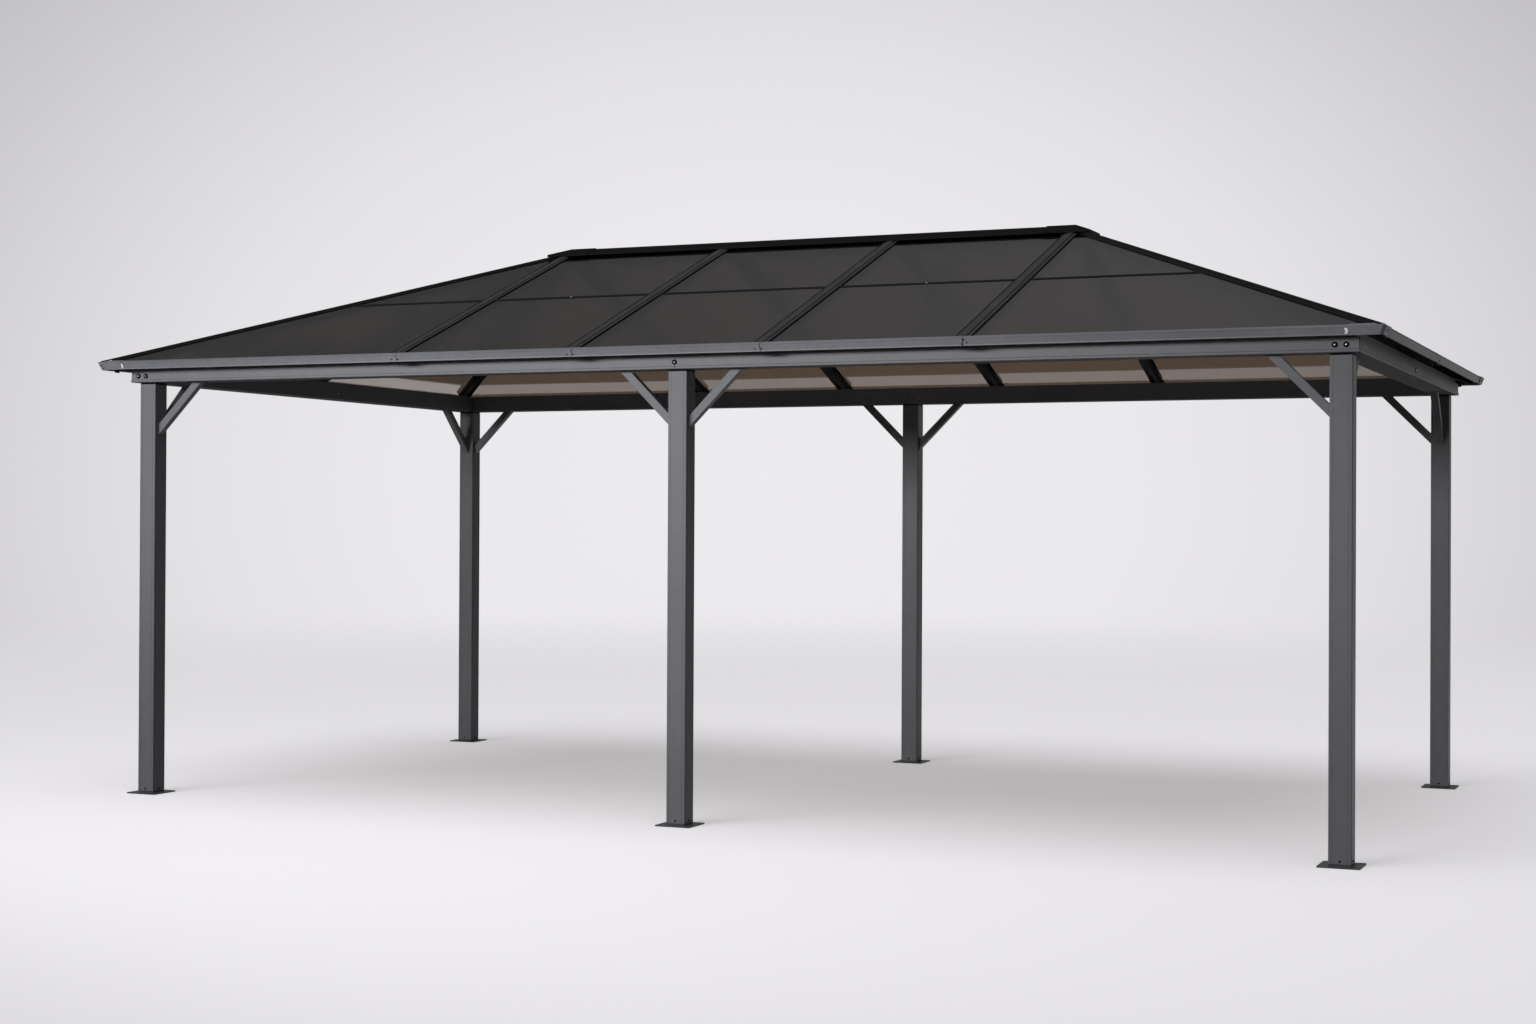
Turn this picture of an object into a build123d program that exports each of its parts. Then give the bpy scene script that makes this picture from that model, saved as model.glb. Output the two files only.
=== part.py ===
"""Six-post metal gazebo with a hipped roof of tinted sheets held in glazing bars.

Millimetres, +Z up, origin on the floor at the middle of the plan, front along -Y, length along X.
"""

import os
from math import atan, cos, radians, sin, sqrt, tan

from build123d import *

os.makedirs("parts", exist_ok=True)

# Roof plan and slope, measured to the top face of the sheets at the eave
roof_length = 6096.0
roof_width = 3380.0
roof_pitch = radians(21)
eave_height = 2088.0
half_length = roof_length / 2
half_width = roof_width / 2
slope_length = half_width / cos(roof_pitch)
ridge_end = half_length - half_width
ridge_height = eave_height + half_width * tan(roof_pitch)

# Posts stand in from the eave by the same distance on every side
eave_overhang = 188.0
post_size = 90.0
post_wall = 3.0
post_groove = 2.0
groove_inset = 14.0
post_x = half_length - eave_overhang
post_y = half_width - eave_overhang
foot_size = 168.0
foot_thickness = 5.0
step_size = 86.0
step_height = 7.0
anchor_pitch = 128.0
anchor_diameter = 11.0
beam_underside = 2000.0
head_thickness = 8.0
spigot_size = 83.2
spigot_wall = 2.5
spigot_length = 70.0

# Beams stand proud of the posts outside, with a rebate above their face and a sloping shoulder for the bars
beam_proud = 30.0
beam_shoulder = 30.0
beam_face = 58.5
beam_rebate = 12.0
beam_wall = 2.0
beam_ledge = 3.0
ledge_height = 13.0
beam_gap = 2.0
brace_reach = 252.0
brace_size = 36.0
brace_wall = 2.0
brace_edge = 1.5
brace_plate = 3.0
plate_tab = 15.0
plate_toe = 5.0

# Bars, in distances square to the roof from the top face of the sheets
sheet_thickness = 4.0
slot_play = 0.2
cover_half = 30.0
cover_crown_half = 13.0
cover_crown = 8.0
cover_flange = 2.5
bar_web_half = 3.0
shelf_half = 22.0
shelf_thickness = 2.6
bar_half = 14.0
bar_depth = 50.0
bar_wall = 2.0

# Eave trim, and the joint across each slope
trim_height = 36.0
trim_lip = 22.0
trim_wall = 2.5
trim_crown = 3.0
trim_seam = 3.0
trim_recess = 1.5
trim_bead = 5.5
clip_length = 96.0
corner_clip = 34.0
clip_drop = 8.0
clip_depth = 16.0
corner_arm = 140.0
corner_chamfer = 12.0
corner_gap = 0.5
corner_wall = 2.0
joint_share = 0.5
joint_half = 11.0
joint_flange = 2.0

# Ridge
ridge_beam_width = 50.0
ridge_beam_depth = 62.0
hub_radius = 83.0
hub_wall = 3.0
hub_depth = 70.0
cap_half = 90.0
cap_skirt = 9.0
cap_wall = 2.5
end_cap_length = 235.0
end_cap_lift = 3.5

clear = 1.0
bar_start = trim_lip + 2.0
bay = 2 * ridge_end / 3
rafter_places = [-ridge_end, -bay / 2, bay / 2, ridge_end]
shelf_top = -sheet_thickness - slot_play
shelf_bottom = shelf_top - shelf_thickness
hip_run = half_width * sqrt(2)
hip_rise = atan((ridge_height - eave_height) / hip_run)
hip_length = hip_run / cos(hip_rise)


def write(sub_part, name):
    sub_part.part.label = name
    export_step(sub_part.part, f"parts/{name}.step")


def slope_plane(side, lift=0.0):
    """Plane of one roof slope: X along the eave, Y up the slope, Z out of the roof."""
    turn = {"front": 0, "right": 90, "back": 180, "left": 270}[side]
    reach = half_width if side in ("front", "back") else half_length
    flat = Plane.XY.rotated((0, 0, turn))
    outward = -flat.y_dir
    normal = outward * sin(roof_pitch) + flat.z_dir * cos(roof_pitch)
    origin = outward * reach + Vector(0, 0, eave_height) + normal * lift
    return Plane(origin=origin, x_dir=flat.x_dir, z_dir=normal)


def bar_plane(side, place, start):
    """Plane square to a bar on one slope: Y out of the roof, extruded up the slope."""
    roof = slope_plane(side)
    origin = roof.origin + roof.x_dir * place + roof.y_dir * start
    return Plane(origin=origin, x_dir=-roof.x_dir, z_dir=roof.y_dir)


def draw_post(x, y):
    """Hollow square post with a narrow groove near each edge of its faces."""
    base = foot_thickness + step_height
    inside = post_size - 2 * post_wall
    with BuildPart() as post:
        with BuildSketch(Plane((x, y, base))):
            RectangleRounded(post_size, post_size, 4)
            with PolarLocations(post_size / 2, 4):
                with Locations((0, groove_inset - post_size / 2), (0, post_size / 2 - groove_inset)):
                    Rectangle(post_groove, post_groove, mode=Mode.SUBTRACT)
            Rectangle(inside, inside, mode=Mode.SUBTRACT)
        extrude(amount=beam_underside - head_thickness - base)
    return post


def draw_foot(x, y):
    """Square plate with four anchor holes, a step that carries the post, and a spigot inside it."""
    spigot_inside = spigot_size - 2 * spigot_wall
    with BuildPart() as foot:
        with BuildSketch(Plane((x, y, 0))):
            RectangleRounded(foot_size, foot_size, 8)
            with GridLocations(anchor_pitch, anchor_pitch, 2, 2):
                Circle(anchor_diameter / 2, mode=Mode.SUBTRACT)
        extrude(amount=foot_thickness)
        with BuildSketch(Plane((x, y, foot_thickness))):
            Rectangle(step_size, step_size)
            Rectangle(spigot_inside, spigot_inside, mode=Mode.SUBTRACT)
        extrude(amount=step_height)
        with BuildSketch(Plane((x, y, foot_thickness + step_height))):
            Rectangle(spigot_size, spigot_size)
            Rectangle(spigot_inside, spigot_inside, mode=Mode.SUBTRACT)
        extrude(amount=spigot_length)
    return foot


def draw_heads(places):
    """Plates between post and beam, set back to leave a shadow gap, each with a spigot in its post."""
    spigot_inside = spigot_size - 2 * spigot_wall
    with BuildPart() as heads:
        with BuildSketch(Plane.XY.offset(beam_underside - head_thickness)):
            with Locations(*places):
                Rectangle(step_size, step_size)
        extrude(amount=head_thickness)
        with BuildSketch(Plane.XY.offset(beam_underside - head_thickness)):
            with Locations(*places):
                Rectangle(spigot_size, spigot_size)
                Rectangle(spigot_inside, spigot_inside, mode=Mode.SUBTRACT)
        extrude(amount=-spigot_length)
    return heads


def draw_beam(side, start, end):
    """Hollow beam along one side: ledge and rebate outside, sloping shoulder, mitred corners."""
    along_x = side in ("front", "back")
    outer = (post_y if along_x else post_x) + post_size / 2 + beam_proud
    inner = outer - beam_proud - post_size
    crest = outer - beam_shoulder
    eave = half_width if along_x else half_length
    drop = bar_depth / cos(roof_pitch)
    rise = tan(roof_pitch)
    outer_top = eave_height + (eave - outer) * rise - drop
    top = outer_top + beam_shoulder * rise
    back = outer - beam_rebate
    back_top = outer_top + beam_rebate * rise
    face_top = beam_underside + beam_face
    wall = beam_wall
    turn = {"front": 0, "right": 90, "back": 180, "left": 270}[side]
    run = Plane.XY.rotated((0, 0, turn))
    section = Plane(origin=run.x_dir * start, x_dir=-run.y_dir, z_dir=-run.x_dir)
    with BuildPart() as beam:
        with BuildSketch(section):
            with BuildLine():
                Polyline(
                    (outer, beam_underside),
                    (outer + beam_ledge, beam_underside + 2),
                    (outer + beam_ledge, beam_underside + ledge_height - beam_ledge),
                    (outer, beam_underside + ledge_height),
                    (outer, face_top),
                    (back, face_top),
                    (back, back_top),
                    (crest, top),
                    (inner, top),
                    (inner, beam_underside),
                    close=True,
                )
            make_face()
            with BuildLine():
                Polyline(
                    (outer - wall, beam_underside + wall),
                    (outer - wall, face_top - wall),
                    (back - wall, face_top - wall),
                    (back - wall, back_top - wall),
                    (crest, top - 1.3 * wall),
                    (inner + wall, top - 1.3 * wall),
                    (inner + wall, beam_underside + wall),
                    close=True,
                )
            make_face(mode=Mode.SUBTRACT)
        extrude(amount=-(end - start))
        for way in (-1, 1):
            square = outer + (post_x - post_y if along_x else post_y - post_x)
            corner = run.x_dir * way * square - run.y_dir * outer
            away = (run.x_dir * way + run.y_dir).normalized()
            mitre = Plane(origin=corner - run.x_dir * way * beam_gap, z_dir=-away)
            split(bisect_by=mitre, keep=Keep.TOP)
    return beam


def draw_braces(x, y, ways):
    """Knee braces at one post: square tube at 45 degrees with a screw plate at each end."""
    cut = brace_size * sqrt(2)
    plate_length = cut + plate_tab + plate_toe
    plate_middle = brace_reach + plate_toe - plate_length / 2
    bore = brace_size - 2 * brace_wall
    with BuildPart() as braces:
        for way in ways:
            out = Vector(*way, 0)
            down = Vector(0, 0, -1)
            knee = Vector(x, y, beam_underside) + out * (post_size / 2)
            sideways = down.cross(out)
            middle = knee + (out + down) * ((brace_reach - cut / 2) / 2)
            with BuildPart(mode=Mode.PRIVATE) as tube:
                with BuildSketch(Plane(origin=middle, x_dir=sideways, z_dir=(out - down).normalized())) as section:
                    Rectangle(brace_size, brace_size)
                    chamfer(section.vertices(), brace_edge)
                    Rectangle(bore, bore, mode=Mode.SUBTRACT)
                extrude(amount=brace_reach, both=True)
                for face in (out, down):
                    split(bisect_by=Plane(origin=knee + face * brace_plate, z_dir=face), keep=Keep.TOP)
            add(tube.part)
            for face, run in ((out, down), (down, out)):
                with BuildSketch(Plane(origin=knee + run * plate_middle, x_dir=run, z_dir=face)):
                    Rectangle(plate_length, brace_size)
                extrude(amount=brace_plate)
    return braces


def bar_section():
    """Right half of a glazing bar from crown to foot: cover, web between the sheets, shelf and rib."""
    cover_bottom = slot_play
    return [
        (cover_crown_half, cover_crown),
        (cover_crown_half + 3, cover_bottom + cover_flange + 1),
        (cover_half, cover_bottom + cover_flange),
        (cover_half, cover_bottom),
        (bar_web_half, cover_bottom),
        (bar_web_half, shelf_top),
        (shelf_half, shelf_top),
        (shelf_half, shelf_bottom),
        (bar_half, shelf_bottom),
        (bar_half, -bar_depth),
    ]


def draw_rafters(bars):
    """Rafters given by slope, place along the eave and level distance to their upright top end."""
    right = bar_section()
    left = [(-across, out) for across, out in reversed(right)]
    with BuildPart() as rafters:
        for side, place, stop in bars:
            run = slope_plane(side)
            level = Vector(run.y_dir.X, run.y_dir.Y, 0).normalized()
            face = Plane(origin=run.origin + level * stop, z_dir=level)
            with BuildPart(mode=Mode.PRIVATE) as bar:
                with BuildSketch(bar_plane(side, place, bar_start)):
                    with BuildLine():
                        Polyline(*right, *left, close=True)
                    make_face()
                    with Locations((0, (shelf_bottom - bar_depth) / 2)):
                        Rectangle(2 * (bar_half - bar_wall), bar_depth + shelf_bottom - 2 * bar_wall, mode=Mode.SUBTRACT)
                extrude(amount=slope_length - bar_start)
                split(bisect_by=face, keep=Keep.BOTTOM)
            add(bar.part)
    return rafters


def hip_point(across, out, droop):
    """Point of the hip section on the slope at the right: along the slope, then out of it."""
    return (across * cos(droop) + out * sin(droop), -across * sin(droop) + out * cos(droop))


def draw_hip(x_way, y_way):
    """Hip bar up to the hub, folded to both slopes, with a strip of its crown over the eave corner."""
    droop = atan(
        sin(roof_pitch) * sqrt(0.5)
        / (sin(roof_pitch) * sqrt(0.5) * sin(hip_rise) + cos(roof_pitch) * cos(hip_rise))
    )
    corner = Vector(x_way * half_length, y_way * half_width, eave_height)
    level = Vector(-x_way, -y_way, 0).normalized()
    up_hip = level * cos(hip_rise) + Vector(0, 0, sin(hip_rise))
    across = Vector(0, 0, 1).cross(level)
    start = 70.0
    strip_start = 20.0
    stop = hip_run - hub_radius - clear
    cover_bottom = slot_play
    half = [
        hip_point(0, cover_crown, droop)[1],
        hip_point(cover_crown_half, cover_crown, droop),
        hip_point(cover_crown_half + 3, cover_bottom + cover_flange + 1, droop),
        hip_point(cover_half + 3, cover_bottom + cover_flange, droop),
        hip_point(cover_half + 3, cover_bottom, droop),
        hip_point(bar_web_half, cover_bottom, droop),
        hip_point(bar_web_half, shelf_top, droop),
        hip_point(shelf_half, shelf_top, droop),
        hip_point(shelf_half, shelf_bottom, droop),
    ]
    crest = (0, half[0])
    right = half[1:]
    rib_top = right[-1][1] + (right[-1][0] - bar_half) * tan(droop)
    right = right + [(bar_half, rib_top), (bar_half, -bar_depth)]
    left = [(-a, b) for a, b in reversed(right)]
    strip_floor = trim_crown + corner_gap + corner_wall + slot_play
    flank = hip_point(cover_crown_half + 1.6, strip_floor, droop)
    with BuildPart() as hip:
        with BuildSketch(Plane(origin=corner, x_dir=across, z_dir=up_hip)):
            with BuildLine():
                Polyline(crest, *right, *left, close=True)
            make_face()
            with Locations((0, (rib_top - bar_wall - bar_depth) / 2)):
                Rectangle(2 * (bar_half - bar_wall), bar_depth + rib_top - 3 * bar_wall, mode=Mode.SUBTRACT)
        extrude(amount=hip_length)
        split(bisect_by=Plane(origin=corner + up_hip * start, z_dir=up_hip), keep=Keep.TOP)
        split(bisect_by=Plane(origin=corner + level * stop, z_dir=-level), keep=Keep.TOP)
        with BuildSketch(Plane(origin=corner + up_hip * strip_start, x_dir=across, z_dir=up_hip)):
            with BuildLine():
                Polyline(
                    crest,
                    half[1],
                    flank,
                    (0, strip_floor / cos(droop)),
                    (-flank[0], flank[1]),
                    (-half[1][0], half[1][1]),
                    close=True,
                )
            make_face()
        extrude(amount=start + 5 - strip_start)
    return hip


def sheet_bays(side):
    """Middle lines of the bars that bound each bay of a slope, from left to right."""
    if side in ("front", "back"):
        return [-half_length, *rafter_places, half_length]
    return [-half_width, 0.0, half_width]


def hip_edge(side, height, gap):
    """Distance from the middle of a slope to its hip at a height up the slope."""
    edge = half_length if side in ("front", "back") else half_width
    return edge - height * cos(roof_pitch) - gap


def draw_sheets(side):
    """Upper and lower sheet in every bay, held in the bars, the trim and the cross joint."""
    lines = sheet_bays(side)
    bar_gap = bar_web_half + clear
    hip_gap = bar_gap * 1.5
    low = trim_wall + 2 * clear
    top = slope_length - (30 if side in ("front", "back") else 0)
    middle = slope_length * joint_share
    with BuildPart() as sheets:
        for left, right in zip(lines, lines[1:]):
            for bottom, top_edge in ((low, middle - 2.5), (middle + 2.5, top)):
                with BuildSketch(slope_plane(side, -sheet_thickness)):
                    with BuildLine():
                        Polyline(*sheet_outline(side, left, right, bottom, top_edge, bar_gap, hip_gap), close=True)
                    make_face()
                extrude(amount=sheet_thickness)
        hub_clear = hub_radius + clear
        for end in (-1, 1):
            with Locations((end * ridge_end, 0, ridge_height - 200)):
                Cylinder(hub_clear, 400, mode=Mode.SUBTRACT)
    return sheets


def sheet_outline(side, left, right, bottom, top, bar_gap, hip_gap):
    """Corners of one sheet in its slope, with the bar or hip on each side taken off."""
    edge = half_length if side in ("front", "back") else half_width
    if abs(left) == edge:
        inner = right - bar_gap
        meet = (edge + inner - hip_gap) / cos(roof_pitch)
        points = [(-hip_edge(side, bottom, hip_gap), bottom), (inner, bottom)]
        if meet > top:
            return points + [(inner, top), (-hip_edge(side, top, hip_gap), top)]
        return points + [(inner, meet)]
    if abs(right) == edge:
        return [(-x, y) for x, y in sheet_outline(side, -right, -left, bottom, top, bar_gap, hip_gap)]
    return [(left + bar_gap, bottom), (right - bar_gap, bottom), (right - bar_gap, top), (left + bar_gap, top)]


def draw_joints(sides):
    """H-shaped strips that join the lower and upper sheets between the bars of every slope."""
    middle = slope_length * joint_share
    reach = cover_half + clear
    top_line = slot_play + joint_flange
    bottom_line = shelf_top - joint_flange
    with BuildPart() as joints:
        for side in sides:
            lines = sheet_bays(side)
            roof = slope_plane(side)
            for left, right in zip(lines, lines[1:]):
                low_end = left + reach
                high_end = right - reach
                if left == lines[0]:
                    low_end = -hip_edge(side, middle, 1.8 * reach)
                if right == lines[-1]:
                    high_end = hip_edge(side, middle, 1.8 * reach)
                origin = roof.origin + roof.x_dir * low_end + roof.y_dir * middle
                with BuildSketch(Plane(origin=origin, x_dir=roof.y_dir, z_dir=roof.x_dir)):
                    with Locations((0, (top_line + slot_play) / 2), (0, (bottom_line + shelf_top) / 2)):
                        Rectangle(2 * joint_half, joint_flange)
                    with Locations((0, (top_line + bottom_line) / 2)):
                        Rectangle(3, top_line - bottom_line)
                extrude(amount=high_end - low_end)
    return joints


def draw_trim(side):
    """Eave trim lengths that grip the foot of the sheets, with seams at the bars."""
    along_x = side in ("front", "back")
    lines = sheet_bays(side)
    roof = slope_plane(side)
    with BuildPart() as trim:
        for left, right in zip(lines, lines[1:]):
            start = left + trim_seam / 2
            end = right - trim_seam / 2
            origin = roof.origin + roof.x_dir * start
            with BuildSketch(Plane(origin=origin, x_dir=roof.y_dir, z_dir=roof.x_dir)):
                with BuildLine():
                    Polyline(
                        (0, trim_crown),
                        (trim_lip, trim_crown),
                        (trim_lip, slot_play),
                        (trim_wall, slot_play),
                        (trim_wall, shelf_top),
                        (trim_lip, shelf_top),
                        (trim_lip, shelf_top - trim_wall),
                        (trim_wall, shelf_top - trim_wall),
                        (trim_wall, trim_crown - trim_height + trim_wall),
                        (trim_lip - 4, trim_crown - trim_height + trim_wall),
                        (trim_lip - 4, trim_crown - trim_height),
                        (0, trim_crown - trim_height),
                        (0, trim_crown - trim_height + 1),
                        (trim_recess, trim_crown - trim_height + trim_bead),
                        (trim_recess, trim_crown - trim_bead),
                        (0, trim_crown - trim_bead + 1),
                        close=True,
                    )
                make_face()
            extrude(amount=end - start)
        for way in (-1, 1):
            reach = half_length if along_x else half_width
            corner = roof.origin + roof.x_dir * way * (reach - corner_chamfer)
            level = Vector(roof.y_dir.X, roof.y_dir.Y, 0).normalized()
            mitre = Plane(origin=corner, z_dir=-(level + roof.x_dir * way).normalized())
            split(bisect_by=mitre, keep=Keep.TOP)
    return trim


def draw_clips(sides):
    """Clips below the trim at every seam and corner joint, each a folded strip open to the beam."""
    foot = trim_crown - trim_height - 0.2
    with BuildPart() as clips:
        for side in sides:
            roof = slope_plane(side)
            lines = sheet_bays(side)
            joint = lines[-1] - corner_arm + 14
            spots = [(place, clip_length) for place in lines[1:-1]]
            for place, length in [(-joint, corner_clip), *spots, (joint, corner_clip)]:
                origin = roof.origin + roof.x_dir * (place - length / 2)
                with BuildSketch(Plane(origin=origin, x_dir=roof.y_dir, z_dir=roof.x_dir)):
                    with BuildLine():
                        Polyline(
                            (1.5, foot),
                            (clip_depth, foot),
                            (clip_depth, foot - trim_wall),
                            (1.5 + trim_wall, foot - trim_wall),
                            (1.5 + trim_wall, foot - clip_drop),
                            (1.5, foot - clip_drop),
                            close=True,
                        )
                    make_face()
                extrude(amount=length)
    return clips


def draw_corner(inset):
    """Block that fills the front right corner piece, every face of its skin moved in by the inset."""
    roof = slope_plane("front")
    corner = roof.origin + roof.x_dir * half_length
    skin = corner_gap + corner_wall
    top = trim_crown + skin
    foot = trim_crown - trim_height
    depth = trim_lip + 3
    reach = skin * cos(roof_pitch) + top * sin(roof_pitch) - corner_chamfer
    edge = corner + roof.x_dir * reach - roof.y_dir * skin + roof.z_dir * top
    bevel = Vector(1, -1, -2 * tan(roof_pitch)).normalized()
    with BuildPart(mode=Mode.PRIVATE) as block:
        with BuildSketch(Plane(origin=corner + roof.x_dir * 10, x_dir=roof.y_dir, z_dir=roof.x_dir)):
            with BuildLine():
                Polyline(
                    (inset - skin, top - inset),
                    (depth + inset, top - inset),
                    (depth + inset, foot - inset),
                    (inset - skin, foot - inset),
                    close=True,
                )
            make_face()
        extrude(amount=-corner_arm - 10 - inset)
        split(bisect_by=Plane(origin=corner, z_dir=(-1, -1, 0)), keep=Keep.TOP)
        mirror(about=Plane(origin=corner, z_dir=(1, 1, 0)))
        split(bisect_by=Plane(origin=edge - bevel * inset, z_dir=-bevel), keep=Keep.TOP)
    return block


def draw_cap(lift):
    """Hipped ridge cap of folded sheet, open below, raised square to its faces by the lift."""
    rise = cap_skirt + lift * (1 / cos(roof_pitch) - tan(roof_pitch))
    half = cap_half + lift
    reach = ridge_end + cap_half + lift
    base = ridge_height - cap_half * tan(roof_pitch) + (cover_crown + 1) / cos(roof_pitch)
    with BuildPart() as cap:
        with BuildSketch(Plane.YZ.offset(-reach)):
            with BuildLine():
                Polyline(
                    (-half, base),
                    (half, base),
                    (half, base + rise),
                    (0, base + rise + half * tan(roof_pitch)),
                    (-half, base + rise),
                    close=True,
                )
            make_face()
        extrude(amount=2 * reach)
        for end in (-1, 1):
            tilt = Vector(end * sin(roof_pitch), 0, cos(roof_pitch))
            split(bisect_by=Plane(origin=(end * reach, 0, base + rise), z_dir=-tilt), keep=Keep.TOP)
        offset(amount=-cap_wall, openings=cap.faces().sort_by(Axis.Z)[0])
    return cap


corners = [(x_way, y_way) for y_way in (-1, 1) for x_way in (-1, 1)]
post_names = {
    "front_left": (-post_x, -post_y, [(1, 0), (0, 1)]),
    "front_middle": (0, -post_y, [(1, 0), (-1, 0)]),
    "front_right": (post_x, -post_y, [(-1, 0), (0, 1)]),
    "back_left": (-post_x, post_y, [(1, 0), (0, -1)]),
    "back_middle": (0, post_y, [(1, 0), (-1, 0)]),
    "back_right": (post_x, post_y, [(-1, 0), (0, -1)]),
}
for place_name, (x, y, ways) in post_names.items():
    write(draw_post(x, y), f"{place_name}_post")
    write(draw_foot(x, y), f"{place_name}_foot")
    write(draw_braces(x, y, ways), f"{place_name}_braces")
write(draw_heads([(x, y) for x, y, _ in post_names.values()]), "post_heads")

beam_end = post_x + post_size / 2 + beam_proud
side_end = post_y + post_size / 2 + beam_proud
write(draw_beam("front", -beam_end, -beam_gap / 2), "front_beam_left")
write(draw_beam("front", beam_gap / 2, beam_end), "front_beam_right")
write(draw_beam("back", beam_gap / 2, beam_end), "back_beam_left")
write(draw_beam("back", -beam_end, -beam_gap / 2), "back_beam_right")
write(draw_beam("left", -side_end, side_end), "left_beam")
write(draw_beam("right", -side_end, side_end), "right_beam")

ridge_stop = half_width - ridge_beam_width / 2 - clear
hub_stop = half_width - hub_radius - clear
bars = [("left", 0, hub_stop), ("right", 0, hub_stop)]
for side in ("front", "back"):
    bars += [(side, place, hub_stop) for place in (-ridge_end, ridge_end)]
    bars += [(side, place, ridge_stop) for place in (-bay / 2, bay / 2)]
write(draw_rafters(bars), "rafters")
for x_way, y_way in corners:
    name = f"{'front' if y_way < 0 else 'back'}_{'left' if x_way < 0 else 'right'}_hip"
    write(draw_hip(x_way, y_way), name)

# Eave corners: a folded plate outside the trim with a chamfered corner and a narrow flange over its crown
with BuildPart() as eave_corners:
    add(draw_corner(0).part)
    add(draw_corner(corner_wall).part, mode=Mode.SUBTRACT)
    mirror(about=Plane.YZ)
    mirror(about=Plane.XZ)
write(eave_corners, "eave_corners")

for side in ("front", "right", "back", "left"):
    write(draw_sheets(side), f"{side}_roof_sheets")
    write(draw_trim(side), f"{side}_eave_trim")
write(draw_joints(("front", "right", "back", "left")), "sheet_joints")
write(draw_clips(("front", "right", "back", "left")), "trim_clips")

# Ridge beam between the hubs, its top folded to the two long slopes
with BuildPart() as ridge_beam:
    with BuildSketch(Plane.YZ.offset(-ridge_end + hub_radius + clear)):
        half = ridge_beam_width / 2
        top = ridge_height - 12
        shoulder = top - half * tan(roof_pitch)
        with BuildLine():
            Polyline(
                (0, top),
                (half, shoulder),
                (half, top - ridge_beam_depth),
                (-half, top - ridge_beam_depth),
                (-half, shoulder),
                close=True,
            )
        make_face()
        offset(amount=-bar_wall, mode=Mode.SUBTRACT)
    extrude(amount=2 * (ridge_end - hub_radius - clear))
write(ridge_beam, "ridge_beam")

# Hubs where the ridge beam, two rafters, two hips and an end rafter come together
with BuildPart() as hubs:
    for end in (-1, 1):
        top = ridge_height - 14
        rim = top - hub_radius * tan(roof_pitch)
        with BuildSketch(Plane(origin=(end * ridge_end, 0, 0), x_dir=(1, 0, 0), z_dir=(0, -1, 0))):
            with BuildLine():
                Polyline(
                    (0, top),
                    (hub_radius, rim),
                    (hub_radius, rim - hub_depth + 20),
                    (hub_radius - hub_wall, rim - hub_depth + 20),
                    (hub_radius - hub_wall, rim - hub_wall),
                    (0, top - 1.3 * hub_wall),
                    close=True,
                )
            make_face()
        revolve(axis=Axis((end * ridge_end, 0, 0), (0, 0, 1)))
write(hubs, "ridge_hubs")

# Ridge cap over the bars, with a raised piece over each end
raised = draw_cap(end_cap_lift)
end_face = ridge_end + cap_half + end_cap_lift - end_cap_length
with BuildPart() as ridge_cap:
    add(raised.part)
    Box(2 * end_face, 4 * cap_half, 8 * ridge_height, mode=Mode.SUBTRACT)
    add(draw_cap(0).part)
write(ridge_cap, "ridge_cap")
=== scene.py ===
import bpy
from math import cos, pi, radians, sin
from mathutils import Matrix, Vector


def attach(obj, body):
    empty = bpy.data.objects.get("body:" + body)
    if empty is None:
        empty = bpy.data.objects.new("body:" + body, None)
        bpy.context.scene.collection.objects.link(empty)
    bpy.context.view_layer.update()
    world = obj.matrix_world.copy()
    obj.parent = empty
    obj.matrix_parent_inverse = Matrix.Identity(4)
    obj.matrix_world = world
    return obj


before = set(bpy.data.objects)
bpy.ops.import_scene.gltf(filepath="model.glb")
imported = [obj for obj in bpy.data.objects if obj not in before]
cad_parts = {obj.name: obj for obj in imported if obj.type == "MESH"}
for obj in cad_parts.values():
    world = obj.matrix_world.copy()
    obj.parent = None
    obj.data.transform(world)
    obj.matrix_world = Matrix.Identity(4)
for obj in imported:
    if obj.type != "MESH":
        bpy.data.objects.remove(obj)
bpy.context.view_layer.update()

bpy.context.scene.view_settings.view_transform = "Standard"
print("frame loaded:", len(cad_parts), "nodes")


def linear(hexColour):
    parts = [int(hexColour[i:i + 2], 16) / 255 for i in (1, 3, 5)]
    return [p / 12.92 if p <= 0.04045 else ((p + 0.055) / 1.055) ** 2.4 for p in parts] + [1.0]


# a ramp's stop is an sRGB hex colour, or a level of light: one number, or three where the light is tinted
def stopColour(tone):
    if isinstance(tone, str):
        return linear(tone)
    return (*tone, 1.0) if isinstance(tone, tuple) else (tone, tone, tone, 1.0)


# settings fill a node's fields, sockets or ramp stops, and links join its sockets to other nodes' outputs
def addNode(tree, kind, settings=None, links=None):
    node = tree.nodes.new("ShaderNode" + kind)
    for name, value in (settings or {}).items():
        if name == "stops":
            marks = node.color_ramp.elements
            for mark, (place, tone) in zip(marks, (value[0], value[-1])):
                mark.position, mark.color = place, stopColour(tone)
            for place, tone in value[1:-1]:
                marks.new(place).color = stopColour(tone)
        elif isinstance(name, int) or name in node.inputs:
            node.inputs[name].default_value = value
        else:
            setattr(node, name, value)
    for name, output in (links or {}).items():
        tree.links.new(output, node.inputs[name])
    return node


def newMaterial(name):
    material = bpy.data.materials.new(name)
    material.use_nodes = True
    material.node_tree.nodes.clear()
    return material, material.node_tree


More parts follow.
